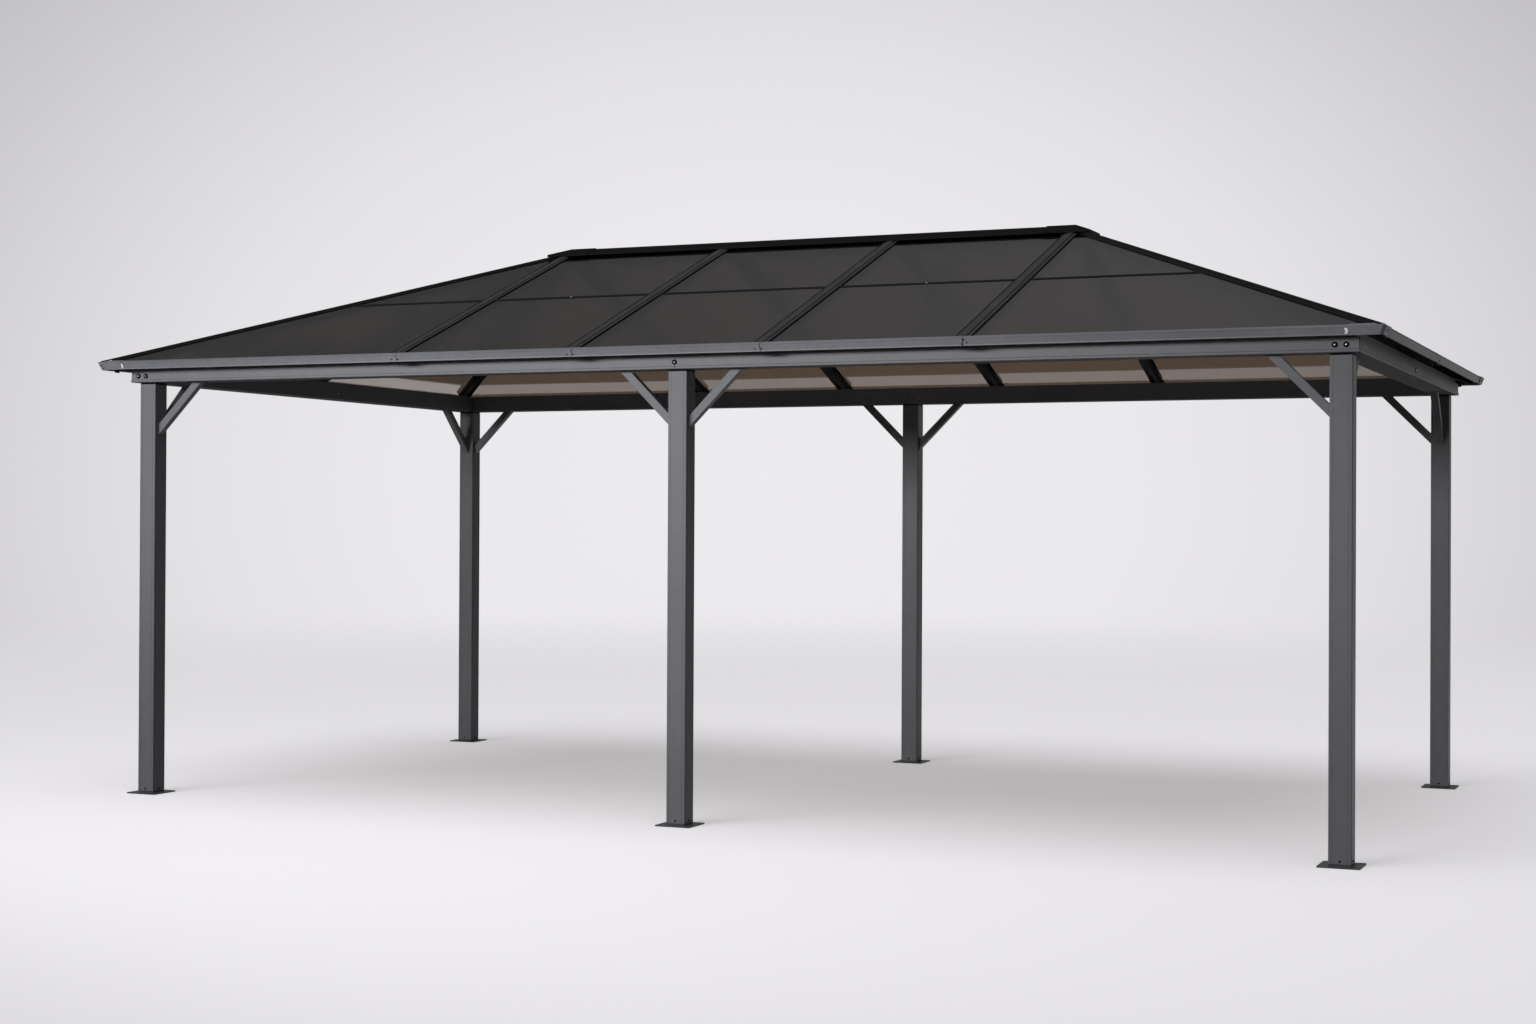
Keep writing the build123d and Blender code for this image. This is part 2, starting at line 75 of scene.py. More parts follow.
# satin polyester powder coat, sprayed and baked on aluminium: one even grey film with a faint orange-peel
# skin, so lamps show as wide soft sheens, and long faces drift a little in tone and gloss
def powderCoat(name, look):
    material, tree = newMaterial(name)
    place = addNode(tree, "TexCoord").outputs["Object"]
    drawn = addNode(tree, "Mapping", {"Scale": look["drawn"]}, {"Vector": place})
    cloud = addNode(tree, "TexNoise", {"Scale": 1000 / look["cloudMm"], "Detail": 3.0, "Roughness": 0.55},
                    {"Vector": drawn.outputs["Vector"]}).outputs["Fac"]
    tone = addNode(tree, "ValToRGB", {"stops": [(0.3, look["dark"]), (0.72, look["light"])]}, {"Fac": cloud})
    # a sprayed film is slightly mottled, drawn here at a few centimetres, coarser than the real flecks
    fleck = addNode(tree, "TexNoise", {"Scale": 1000 / look["fleckMm"], "Detail": 4.0}, {"Vector": place})
    mottle = addNode(tree, "MapRange",
                     {"From Min": 0.35, "From Max": 0.65,
                      "To Min": 1 - look["fleckDepth"], "To Max": 1 + look["fleckDepth"]},
                     {"Value": fleck.outputs["Fac"]})
    # faces that point down get painted shade: their film is made darker, and matt
    surface = addNode(tree, "NewGeometry")
    pointing = addNode(tree, "SeparateXYZ", links={"Vector": surface.outputs["True Normal"]})
    below = addNode(tree, "MapRange",
                    {"From Min": -0.97, "From Max": -0.8, "To Min": look["below"], "To Max": 1.0},
                    {"Value": pointing.outputs["Z"]}).outputs["Result"]
    amount = addNode(tree, "Math", {"operation": "MULTIPLY"}, {0: mottle.outputs["Result"], 1: below})
    film = addNode(tree, "VectorMath", {"operation": "SCALE"},
                   {"Vector": tone.outputs["Color"], "Scale": amount.outputs["Value"]})
    sheen = addNode(tree, "MapRange",
                    {"From Min": 0.3, "From Max": 0.7,
                     "To Min": look["rough"] - look["smoother"], "To Max": look["rough"] + look["rougher"]},
                    {"Value": cloud})
    dry = addNode(tree, "MapRange",
                  {"From Min": look["below"], "From Max": 1.0, "To Min": look["dryRough"], "To Max": 0.0},
                  {"Value": below})
    rough = addNode(tree, "Math", {"operation": "ADD"},
                    {0: sheen.outputs["Result"], 1: dry.outputs["Result"]})
    peel = addNode(tree, "TexNoise", {"Scale": 1000 / look["peelMm"], "Detail": 2.0}, {"Vector": place})
    bump = addNode(tree, "Bump", {"Strength": look["peelDepth"], "Distance": look["peelHigh"]},
                   {"Height": peel.outputs["Fac"]})
    skin = addNode(tree, "BsdfPrincipled", {"IOR": 1.5, "Specular IOR Level": look["gloss"]},
                   {"Base Color": film.outputs["Vector"], "Roughness": rough.outputs["Value"],
                    "Normal": bump.outputs["Normal"]})
    addNode(tree, "OutputMaterial", links={"Surface": skin.outputs["BSDF"]})
    return material


# what the coats share, and then each coat's own values; the shared value for faces that point down sets how
# dark their painted shade is
sprayed = {"peelMm": 6, "peelDepth": 0.2, "peelHigh": 0.0004, "cloudMm": 330, "drawn": (1, 1, 1),
           "fleckMm": 20, "below": 0.35, "dryRough": 0.5, "smoother": 0.05, "rougher": 0.06}
coatLooks = {
    "AnthracitePowderCoat": {"dark": "#6a6b6f", "light": "#76777b", "rough": 0.46, "gloss": 0.2,
                             "cloudMm": 625, "drawn": (1, 1, 0.4), "fleckMm": 30, "fleckDepth": 0.03},
    "EaveTrimPowderCoat": {"dark": "#6a6b70", "light": "#7b7c81", "rough": 0.44, "gloss": 0.22,
                           "cloudMm": 1100, "drawn": (1, 1, 4), "fleckMm": 25, "fleckDepth": 0.04},
    "FootPlatePowderCoat": {"dark": "#3b3c3e", "light": "#4b4c4f", "rough": 0.5, "gloss": 0.4,
                            "cloudMm": 70, "fleckMm": 12, "fleckDepth": 0.06, "peelMm": 5, "peelDepth": 0.4},
    # black coat: the ridge cap's own colour, and painted shade on the trim clips and post heads
    "BlackCoatAndPaintedShade": {"dark": "#060607", "light": "#0c0c0d", "rough": 0.6, "gloss": 0.06,
                        "fleckDepth": 0.1},
    "HipBarPowderCoat": {"dark": "#0c0c0d", "light": "#141415", "rough": 0.5, "gloss": 0.1,
                         "fleckDepth": 0.08},
    "GlazingBarPowderCoat": {"dark": "#333334", "light": "#3d3d3e", "rough": 0.5, "gloss": 0.2,
                             "fleckDepth": 0.06},
}
coats = {name: powderCoat(name, {**sprayed, **look}) for name, look in coatLooks.items()}


# bronze-tinted solid polycarbonate, extruded between polished rolls: clear and glossy on both faces, it lets
# through a tenth of the light, warm brown, and long shallow waves in its skin bend what it mirrors
def bronzePolycarbonate(name, look):
    material, tree = newMaterial(name)
    place = addNode(tree, "TexCoord").outputs["Object"]
    drawn = addNode(tree, "Mapping", {"Scale": look["waveDrawn"]}, {"Vector": place})
    wave = addNode(tree, "TexNoise", {"Scale": 1000 / look["waveMm"], "Detail": 1.0},
                   {"Vector": drawn.outputs["Vector"]})
    bump = addNode(tree, "Bump", {"Strength": look["waveDepth"], "Distance": look["waveHigh"]},
                   {"Height": wave.outputs["Fac"]})
    dust = addNode(tree, "TexNoise", {"Scale": 1000 / look["dustMm"], "Detail": 5.0, "Roughness": 0.6},
                   {"Vector": place})
    rough = addNode(tree, "MapRange",
                    {"From Min": 0.3, "From Max": 0.7,
                     "To Min": look["rough"], "To Max": look["rough"] + look["dustRough"]},
                    {"Value": dust.outputs["Fac"]})
    skin = addNode(tree, "BsdfPrincipled",
                   {"Base Color": linear(look["tint"]), "IOR": 1.58, "Transmission Weight": look["clear"]},
                   {"Roughness": rough.outputs["Result"], "Normal": bump.outputs["Normal"]})
    addNode(tree, "OutputMaterial", links={"Surface": skin.outputs["BSDF"]})
    return material


sheetLook = {"tint": "#635447", "clear": 1.0, "rough": 0.05, "dustRough": 0.06, "dustMm": 180,
             "waveMm": 900, "waveDepth": 0.08, "waveHigh": 0.02, "waveDrawn": (1, 0.4, 1)}
bronzeSheet = bronzePolycarbonate("BronzePolycarbonate", sheetLook)


# EPDM rubber, extruded: near black and dull, with fine drawn streaks
def blackRubber(name, look):
    material, tree = newMaterial(name)
    place = addNode(tree, "TexCoord").outputs["Object"]
    grain = addNode(tree, "TexNoise", {"Scale": 1000 / look["grainMm"], "Detail": 2.0}, {"Vector": place})
    rough = addNode(tree, "MapRange",
                    {"To Min": look["rough"] - look["uneven"], "To Max": look["rough"] + look["uneven"]},
                    {"Value": grain.outputs["Fac"]})
    bump = addNode(tree, "Bump", {"Strength": look["grainDepth"], "Distance": look["grainHigh"]},
                   {"Height": grain.outputs["Fac"]})
    skin = addNode(tree, "BsdfPrincipled",
                   {"Base Color": linear(look["colour"]), "Specular IOR Level": look["gloss"]},
                   {"Roughness": rough.outputs["Result"], "Normal": bump.outputs["Normal"]})
    addNode(tree, "OutputMaterial", links={"Surface": skin.outputs["BSDF"]})
    return material


rubberLook = {"colour": "#080808", "rough": 0.75, "uneven": 0.1, "gloss": 0.2, "grainMm": 3,
              "grainDepth": 0.3, "grainHigh": 0.0003}
sealRubber = blackRubber("BlackSealRubber", rubberLook)


# cold-headed steel screws: zinc plate is pale and a little cold, black oxide is dark, and both show a fine
# turned grain
def screwSteel(name, look):
    material, tree = newMaterial(name)
    place = addNode(tree, "TexCoord").outputs["Object"]
    grain = addNode(tree, "TexNoise", {"Scale": 1000 / look["grainMm"], "Detail": 2.0}, {"Vector": place})
    rough = addNode(tree, "MapRange",
                    {"To Min": look["rough"] - look["uneven"], "To Max": look["rough"] + look["uneven"]},
                    {"Value": grain.outputs["Fac"]})
    skin = addNode(tree, "BsdfPrincipled",
                   {"Base Color": linear(look["colour"]), "Metallic": look["metal"],
                    "Specular IOR Level": look["gloss"]},
                   {"Roughness": rough.outputs["Result"]})
    addNode(tree, "OutputMaterial", links={"Surface": skin.outputs["BSDF"]})
    return material


zincLook = {"colour": "#d2d5d8", "metal": 1.0, "rough": 0.4, "uneven": 0.08, "gloss": 0.5, "grainMm": 1.5}
oxideLook = {"colour": "#060606", "metal": 0.0, "rough": 0.5, "uneven": 0.08, "gloss": 0.04, "grainMm": 1.5}
zincSteel = screwSteel("ZincPlatedSteel", zincLook)
blackSteel = screwSteel("BlackOxideSteel", oxideLook)


# moulded white nylon, whose white is a painted highlight standing for a glint: soft sheen, light runs a
# little way into it
def glintWhiteNylon(name, look):
    material, tree = newMaterial(name)
    place = addNode(tree, "TexCoord").outputs["Object"]
    grain = addNode(tree, "TexNoise", {"Scale": 1000 / look["grainMm"], "Detail": 2.0},
                    {"Vector": place}).outputs["Fac"]
    tone = addNode(tree, "ValToRGB", {"stops": [(0.3, look["dark"]), (0.7, look["light"])]}, {"Fac": grain})
    bump = addNode(tree, "Bump", {"Strength": look["grainDepth"], "Distance": look["grainHigh"]},
                   {"Height": grain})
    skin = addNode(tree, "BsdfPrincipled",
                   {"IOR": 1.53, "Roughness": look["rough"], "Subsurface Weight": look["milky"],
                    "Subsurface Radius": look["milkyDeep"]},
                   {"Base Color": tone.outputs["Color"], "Normal": bump.outputs["Normal"]})
    addNode(tree, "OutputMaterial", links={"Surface": skin.outputs["BSDF"]})
    return material


# the near-white tones make the painted highlight
glintNylonLook = {"dark": "#e9e9e6", "light": "#f6f6f4", "rough": 0.45, "grainMm": 2, "grainDepth": 0.2,
             "grainHigh": 0.0002, "milky": 0.2, "milkyDeep": (0.002, 0.002, 0.002)}
glintNylon = glintWhiteNylon("WhiteNylonGlint", glintNylonLook)

# the finish of each node by the end of its name; posts, beams, braces and all the rest are anthracite
finishes = {
    "roof_sheets": bronzeSheet,
    "sheet_joints": sealRubber,
    "eave_trim": coats["EaveTrimPowderCoat"],
    "eave_corners": coats["EaveTrimPowderCoat"],
    "_foot": coats["FootPlatePowderCoat"],
    "ridge_cap": coats["BlackCoatAndPaintedShade"],
    # the trim clips take the black coat as painted shade: their black stands for the shadow each clip casts
    # under its bar
    "trim_clips": coats["BlackCoatAndPaintedShade"],
    # the post heads take the black coat as painted shade: their black stands for the shadow gap between each
    # post and its beam
    "post_heads": coats["BlackCoatAndPaintedShade"],
    "_hip": coats["HipBarPowderCoat"],
    "rafters": coats["GlazingBarPowderCoat"],
}
for nodeName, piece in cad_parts.items():
    finish = coats["AnthracitePowderCoat"]
    for ending, ownFinish in finishes.items():
        if nodeName.endswith(ending):
            finish = ownFinish
    for slot in piece.material_slots:
        slot.material = finish
print("finishes on the frame's nodes")

# the frame's own measures, in metres: roof plan and slope, bars, posts and beams
roof = {"halfLength": 3.048, "halfWidth": 1.69, "eave": 2.088, "pitch": radians(21), "coverHalf": 0.03,
        "barStart": 0.024, "capHalf": 0.09, "jointTop": 0.0022}
ridgeEnd = roof["halfLength"] - roof["halfWidth"]
longBars = [-ridgeEnd, -ridgeEnd / 3, ridgeEnd / 3, ridgeEnd]
barPlaces = {"front": longBars, "right": [0.0], "back": longBars, "left": [0.0]}
slopeTurn = {"front": 0, "right": pi / 2, "back": pi, "left": -pi / 2}
post = {"x": 2.86, "y": 1.502, "half": 0.045}
posts = [(x, y) for y in (-post["y"], post["y"]) for x in (-post["x"], 0.0, post["x"])]
beam = {"proud": 0.03, "foot": 2.0, "boltHeight": 2.03}
outerX, outerY = [post[axis] + post["half"] + beam["proud"] for axis in "xy"]
innerX, innerY = [post[axis] - post["half"] for axis in "xy"]


# X runs along the eave, Y up the slope, Z out of the sheets' top face
def slopeFrame(side):
    reach = roof["halfWidth"] if side in ("front", "back") else roof["halfLength"]
    return (Matrix.Rotation(slopeTurn[side], 4, "Z") @ Matrix.Translation((0, -reach, roof["eave"]))
            @ Matrix.Rotation(roof["pitch"], 4, "X"))


def selectOnly(*things):
    bpy.ops.object.select_all(action="DESELECT")
    for thing in things:
        thing.select_set(True)
    bpy.context.view_layer.objects.active = things[-1]


# selects the faces whose normal passes a test, and stays in edit mode
def pickFaces(thing, wanted):
    bpy.ops.object.mode_set(mode="OBJECT")
    mesh = thing.data
    for item in [*mesh.vertices, *mesh.edges]:
        item.select = False
    for face in mesh.polygons:
        face.select = wanted(face.normal)
        if face.select:
            for corner in face.vertices:
                mesh.vertices[corner].select = True
    bpy.ops.object.mode_set(mode="EDIT")
    bpy.ops.mesh.select_mode(type="FACE")


def facesUp(normal):
    return normal.z > 0.9


def facesDown(normal):
    return normal.z < -0.9


def newCube(size, place):
    bpy.ops.object.select_all(action="DESELECT")
    bpy.ops.mesh.primitive_cube_add(size=1, location=place, scale=size)
    cube = bpy.context.active_object
    bpy.ops.object.transform_apply(location=True, rotation=True, scale=True)
    return cube


def roundEdges(thing, width, segments, angle):
    selectOnly(thing)
    bevel = thing.modifiers.new("edges", "BEVEL")
    bevel.width, bevel.segments = width, segments
    bevel.limit_method, bevel.angle_limit = "ANGLE", radians(angle)
    bpy.ops.object.modifier_apply(modifier=bevel.name)
    bpy.ops.object.shade_smooth_by_angle(angle=radians(35))


# one copy of the master at every spot, each with its own mesh, joined under one name
def copiesJoined(master, spots):
    made = []
    for spot in spots:
        one = master.copy()
        one.data = master.data.copy()
        one.data.transform(spot)
        bpy.context.scene.collection.objects.link(one)
        made.append(one)
    bpy.data.objects.remove(master)
    selectOnly(*made)
    bpy.ops.object.join()
    return bpy.context.view_layer.objects.active


def finishPiece(thing, name):
    thing.name = thing.data.name = name
    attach(thing, "root")
    print(name, len(thing.data.polygons), "faces")


# rubber seals pressed in beside every bar cover, which show as dark lines
seal = {"wide": 0.005, "high": 0.004, "sink": 0.0001, "lipShare": 0.2, "crownShare": 0.15, "capGap": 0.004,
        "hipStart": 0.075, "hipGap": 0.003, "hipCapGap": 0.01}


def makeSeal():
    strip = newCube((seal["wide"], 1, seal["high"]), (0, 0.5, seal["high"] / 2 - seal["sink"]))
    pickFaces(strip, facesUp)
    bpy.ops.mesh.inset(thickness=seal["wide"] * seal["lipShare"])
    bpy.ops.transform.translate(value=(0, 0, seal["high"] * seal["crownShare"]))
    bpy.ops.object.mode_set(mode="OBJECT")
    strip.data.materials.append(sealRubber)
    selectOnly(strip)
    bpy.ops.object.shade_smooth_by_angle(angle=radians(50))
    return strip


# lays a one-metre strip from start to end with its top facing out
def along(start, end, out):
    run = end - start
    side = run.cross(out).normalized()
    return Matrix.Translation(start) @ Matrix((side, run, out)).transposed().to_4x4()


def sealSpots():
    spots = []
    edge = roof["coverHalf"] + seal["wide"] / 2
    barEnd = (roof["halfWidth"] - roof["capHalf"] - seal["capGap"]) / cos(roof["pitch"])
    hipEnd = roof["halfWidth"] - roof["capHalf"] - seal["hipCapGap"]
    hipRun = Vector((-1, 1 / cos(roof["pitch"]), 0))
    across = Vector((-hipRun.y, hipRun.x, 0)).normalized() * (edge + seal["hipGap"])
    for side, places in barPlaces.items():
        slope = slopeFrame(side)
        out = (slope.to_3x3() @ Vector((0, 0, 1))).normalized()
        for place in places:
            for x in (place - edge, place + edge):
                low, high = Vector((x, roof["barStart"], 0)), Vector((x, barEnd, 0))
                spots.append(along(slope @ low, slope @ high, out))
        # a hip's cover ends at an offset square to the hip, in the plane of each slope
        reach = roof["halfLength"] if side in ("front", "back") else roof["halfWidth"]
        for way in (-1, 1):
            low = Vector((reach, 0, 0)) + hipRun * seal["hipStart"] + across
            high = Vector((reach, 0, 0)) + hipRun * hipEnd + across
            low.x, high.x = low.x * way, high.x * way
            spots.append(along(slope @ low, slope @ high, out))
    return spots


finishPiece(copiesJoined(makeSeal(), sealSpots()), "bar_seals")


# the shape that all the screw heads share, in shares of a head's radius and height
headShape = {"wall": 0.55, "edgeIn": 0.18, "edgeUp": 0.3, "crownIn": 0.25, "crownUp": 0.15, "rimIn": 0.12,
             "socket": 0.5}


# a head on a flange, with a socket sunk in it, pointing along +Z; the flange and head can differ in finish
def makeScrew(size):
    flangeHigh, head, high = size["flangeHigh"], size["head"], size["headHigh"]
    bpy.ops.object.select_all(action="DESELECT")
    bpy.ops.mesh.primitive_cylinder_add(vertices=size["sides"], radius=size["flange"], depth=flangeHigh,
                                        location=(0, 0, flangeHigh / 2))
    screw = bpy.context.active_object
    bpy.ops.object.transform_apply(location=True, rotation=True, scale=True)
    pickFaces(screw, facesUp)
    bpy.ops.mesh.inset(thickness=size["flange"] - head)
    bpy.ops.mesh.extrude_region_move(TRANSFORM_OT_translate={"value": (0, 0, high * headShape["wall"])})
    bpy.ops.mesh.inset(thickness=head * headShape["edgeIn"], depth=high * headShape["edgeUp"])
    bpy.ops.mesh.inset(thickness=head * headShape["crownIn"], depth=high * headShape["crownUp"])
    bpy.ops.mesh.inset(thickness=head * headShape["rimIn"])
    bpy.ops.mesh.extrude_region_move(TRANSFORM_OT_translate={"value": (0, 0, -high * headShape["socket"])})
    bpy.ops.object.mode_set(mode="OBJECT")
    for finish in size["finishes"]:
        screw.data.materials.append(finish)
    aboveFlange = flangeHigh + 0.0002
    for face in screw.data.polygons:
        face.material_index = 1 if face.center.z > aboveFlange else 0
    selectOnly(screw)
    bpy.ops.object.shade_smooth_by_angle(angle=radians(35))
    return screw


# sets a screw at a spot with its head facing out
def facing(spot, out):
    return Matrix.Translation(spot) @ Vector(out).to_track_quat("Z", "Y").to_matrix().to_4x4()


# the spots given, and the same ones turned half round, on the opposite side of the object
def bothSides(spots):
    return spots + [Matrix.Rotation(pi, 4, "Z") @ spot for spot in spots]


# bolts through the beams into the post heads: black washer, bright head
beamBolt = {"flange": 0.0115, "flangeHigh": 0.0026, "head": 0.0037, "headHigh": 0.004, "sides": 24,
            "finishes": (blackSteel, zincSteel), "atLeftPost": (-0.032, 0.012), "atRightPost": (-0.02, 0.024)}
boltPlaces = [-post["x"] + shift for shift in beamBolt["atLeftPost"]] + [0.0]
boltPlaces += [post["x"] + shift for shift in beamBolt["atRightPost"]]
spots = [facing((x, -outerY, beam["boltHeight"]), (0, -1, 0)) for x in boltPlaces]
spots.append(facing((outerX, 0, beam["boltHeight"]), (1, 0, 0)))
finishPiece(copiesJoined(makeScrew(beamBolt), bothSides(spots)), "beam_bolts")

# small bright screws: brace plates, ends and inner faces of the side beams, mid bays of the sheet joints
brightScrew = {"flange": 0.0042, "flangeHigh": 0.001, "head": 0.003, "headHigh": 0.0022, "sides": 12,
               "finishes": (zincSteel, zincSteel), "beamEnd": 1.445, "raise": 0.001, "aside": 0.02}
brace = {"plate": 0.003, "screwReach": 0.1935}        # from the knee to the screw in each end plate
braceSpots = []
for x, y in posts:
    ways = [(1, 0), (-1, 0)] if x == 0 else [(-x / abs(x), 0), (0, -y / abs(y))]
    for wayX, wayY in ways:
        knee = Vector((x + wayX * post["half"], y + wayY * post["half"], beam["foot"]))
        out = Vector((wayX, wayY, 0))
        down = Vector((0, 0, -1))
        braceSpots.append(facing(knee + out * brace["plate"] + down * brace["screwReach"], out))
        braceSpots.append(facing(knee + out * brace["screwReach"] + down * brace["plate"], down))
endHeight = beam["boltHeight"] + brightScrew["raise"]
spots = [facing((outerX, y, endHeight), (1, 0, 0)) for y in (-brightScrew["beamEnd"], brightScrew["beamEnd"])]
spots.append(facing((-innerX, brightScrew["aside"], beam["boltHeight"]), (1, 0, 0)))
frontSlope = slopeFrame("front")
halfWay = roof["halfWidth"] / cos(roof["pitch"]) / 2
for x in (-ridgeEnd * 2 / 3, ridgeEnd * 2 / 3):
    spots.append(frontSlope @ Matrix.Translation((x, halfWay, roof["jointTop"])))
brightSpots = braceSpots + bothSides(spots)
finishPiece(copiesJoined(makeScrew(brightScrew), brightSpots), "bright_screws")

# small black screws: eave trim seams, corner plates, inner beam faces
darkScrew = {"flange": 0.0036, "flangeHigh": 0.0007, "head": 0.0024, "headHigh": 0.0012, "sides": 10,
             "finishes": (blackSteel, blackSteel), "seamPair": [(-0.024, -0.022), (0.0075, -0.022)],
             "seamThree": [(0.005, -0.007), (0.017, -0.02), (-0.005, -0.026)],
             "corner": [(0.024, -0.009), (0.03, -0.024)],
             "postInset": 0.02, "middleHalf": 0.018, "raise": 0.006}
# how far up the slope the trim's recess and the corner plates lie
trimFace, plateFace = 0.0015, -0.0025
outOfTrim = Matrix.Rotation(pi / 2, 4, "X")        # from a slope's frame, the trim faces down the slope
rightSlope = slopeFrame("right")
spots = []
for place in longBars:
    seam = darkScrew["seamThree"] if place == longBars[-1] else darkScrew["seamPair"]
    for across, height in seam:
        spots.append(frontSlope @ Matrix.Translation((place + across, trimFace, height)) @ outOfTrim)
for across, height in darkScrew["seamPair"]:
    spots.append(rightSlope @ Matrix.Translation((across, trimFace, height)) @ outOfTrim)
for inward, height in darkScrew["corner"]:
    place = (-roof["halfLength"] + inward, plateFace, height)
    spots.append(frontSlope @ Matrix.Translation(place) @ outOfTrim)
nearPost, nearMiddle = post["x"] - darkScrew["postInset"], darkScrew["middleHalf"]
for x in (-nearPost, -nearMiddle, nearMiddle, nearPost):
    spots.append(facing((x, -innerY, beam["boltHeight"] + darkScrew["raise"]), (0, 1, 0)))
finishPiece(copiesJoined(makeScrew(darkScrew), bothSides(spots)), "trim_screws")

# the side arms of the corner plates: a larger black screw, and three bright rivet heads below it
cornerScrew = {"flange": 0.0045, "flangeHigh": 0.0012, "head": 0.003, "headHigh": 0.0016, "sides": 16,
               "finishes": (blackSteel, blackSteel), "reaches": [0.07], "height": -0.011}
rivet = {"flange": 0.0022, "flangeHigh": 0.0006, "head": 0.0016, "headHigh": 0.001, "sides": 8,
         "finishes": (zincSteel, zincSteel), "reaches": [0.024, 0.062, 0.1], "height": -0.026}
for size, name in ((cornerScrew, "corner_screws"), (rivet, "corner_rivets")):
    spots = []
    for way in (-1, 1):
        for reach in size["reaches"]:
            place = (way * (roof["halfWidth"] - reach), plateFace, size["height"])
            spots.append(rightSlope @ Matrix.Translation(place) @ outOfTrim)
    finishPiece(copiesJoined(makeScrew(size), bothSides(spots)), name)

# screws low in each post face, into the spigot of its foot
footScrew = {"flange": 0.0046, "flangeHigh": 0.001, "head": 0.0034, "headHigh": 0.0018, "sides": 16,
             "finishes": (blackSteel, blackSteel), "height": 0.0225}
spots = []
for x, y in posts:
    for wayX, wayY in ((1, 0), (-1, 0), (0, 1), (0, -1)):
        spot = (x + wayX * post["half"], y + wayY * post["half"], footScrew["height"])
        spots.append(facing(spot, (wayX, wayY, 0)))
finishPiece(copiesJoined(makeScrew(footScrew), spots), "foot_screws")

# white nylon clip folded like a chevron, in the joint between each corner plate and the long trims, where its
# white is a painted highlight for a glint
glintClip = {"wide": 0.011, "thick": 0.0018, "half": 0.012, "lean": 0.004, "round": 0.0005,
             "fromCorner": 0.1445, "height": -0.0155}


def makeGlintClip():
    clip = newCube((glintClip["wide"], glintClip["thick"], glintClip["half"]),
                   (0, -glintClip["thick"] / 2, -glintClip["half"] / 2))
    pickFaces(clip, facesUp)
    bpy.ops.mesh.extrude_region_move(TRANSFORM_OT_translate={
        "value": (-glintClip["lean"], 0, glintClip["half"])})
    pickFaces(clip, facesDown)
    bpy.ops.transform.translate(value=(-glintClip["lean"], 0, 0))
    bpy.ops.object.mode_set(mode="OBJECT")
    roundEdges(clip, glintClip["round"], segments=2, angle=40)
    clip.data.materials.append(glintNylon)
    return clip


spots = []
for way in (-1, 1):
    place = (way * (roof["halfLength"] - glintClip["fromCorner"]), 0, glintClip["height"])
    spots.append(frontSlope @ Matrix.Translation(place))
finishPiece(copiesJoined(makeGlintClip(), bothSides(spots)), "glint_clips")


# pale floor that ends in the background's own tone; for all but the camera and mirrors it is a darker grey,
# as in a studio where black cloth lies round the set
floorLook = {"seen": "#efedf0", "bounce": "#58585a", "glow": 0.38, "radius": 40, "drop": 0.0005,
             "fadeStart": 5.0, "fadeEnd": 26.0}


def makeFloor():
    bpy.ops.object.select_all(action="DESELECT")
    bpy.ops.mesh.primitive_circle_add(vertices=96, radius=floorLook["radius"], fill_type="NGON",
                                      location=(0, 0, -floorLook["drop"]))
    floor = bpy.context.active_object
    floor.name = "floor"
    bpy.ops.object.transform_apply(location=True, rotation=True, scale=True)
    material, tree = newMaterial("PaleStudioFloor")
    place = addNode(tree, "TexCoord").outputs["Object"]
    far = addNode(tree, "VectorMath", {"operation": "LENGTH"}, {0: place})
    fade = addNode(tree, "MapRange",
                   {"interpolation_type": "SMOOTHERSTEP",
                    "From Min": floorLook["fadeStart"], "From Max": floorLook["fadeEnd"]},
                   {"Value": far.outputs["Value"]})
    path = addNode(tree, "LightPath")
    seen = addNode(tree, "Math", {"operation": "MAXIMUM"},
                   {0: path.outputs["Is Camera Ray"], 1: path.outputs["Is Glossy Ray"]}).outputs["Value"]
    tone = addNode(tree, "Mix",
                   {"data_type": "RGBA", "A": linear(floorLook["bounce"]), "B": linear(floorLook["seen"])},
                   {"Factor": seen})
    matt = addNode(tree, "BsdfDiffuse", links={"Color": tone.outputs["Result"]})
    strength = addNode(tree, "Math", {"operation": "MULTIPLY", 1: floorLook["glow"]}, {0: seen})
    glow = addNode(tree, "Emission", {"Color": linear(floorLook["seen"])},
                   {"Strength": strength.outputs["Value"]})
    surface = addNode(tree, "AddShader", links={0: matt.outputs["BSDF"], 1: glow.outputs["Emission"]})
    gone = addNode(tree, "BsdfTransparent")
    mix = addNode(tree, "MixShader",
                  links={0: fade.outputs["Result"], 1: surface.outputs["Shader"], 2: gone.outputs["BSDF"]})
    addNode(tree, "OutputMaterial", links={"Surface": mix.outputs["Shader"]})
    floor.data.materials.append(material)


# pool is what the camera sees, by distance from its middle. The others are levels of light, by height from 0
# straight down to 1 straight up, but for the flags, which shade the mirrored backdrop from 0 at the left to 1
# at the right
surround = {
    "poolMiddle": (-0.397, 0.918, 0.02), "poolSquash": (1, 1, 1.35),
    "pool": [(0.0, "#edebee"), (0.16, "#eae8eb"), (0.24, "#e4e2e5"), (0.31, "#d9d7da"), (0.43, "#bfbdc0"),
             (1.0, "#b5b4b6")],
    "lit": [(0.0, 0.05), (0.5, 0.06), (1.0, 0.1)],
    "backdrop": [(0.0, 0.7), (0.5, 0.95), (0.6, 0.8), (0.68, (0.102, 0.111, 0.124)),
                 (0.75, (0.112, 0.126, 0.139)), (0.8, (0.197, 0.211, 0.224)), (1.0, 0.16)],
    "flags": [(0.0, 0.7), (0.25, 0.75), (0.4, 0.95), (0.5, 0.35), (0.58, 0.2), (0.64, 1.0), (0.72, 1.0),
              (0.76, 0.2), (1.0, 0.12)],
    "roomShade": 0.4,
}


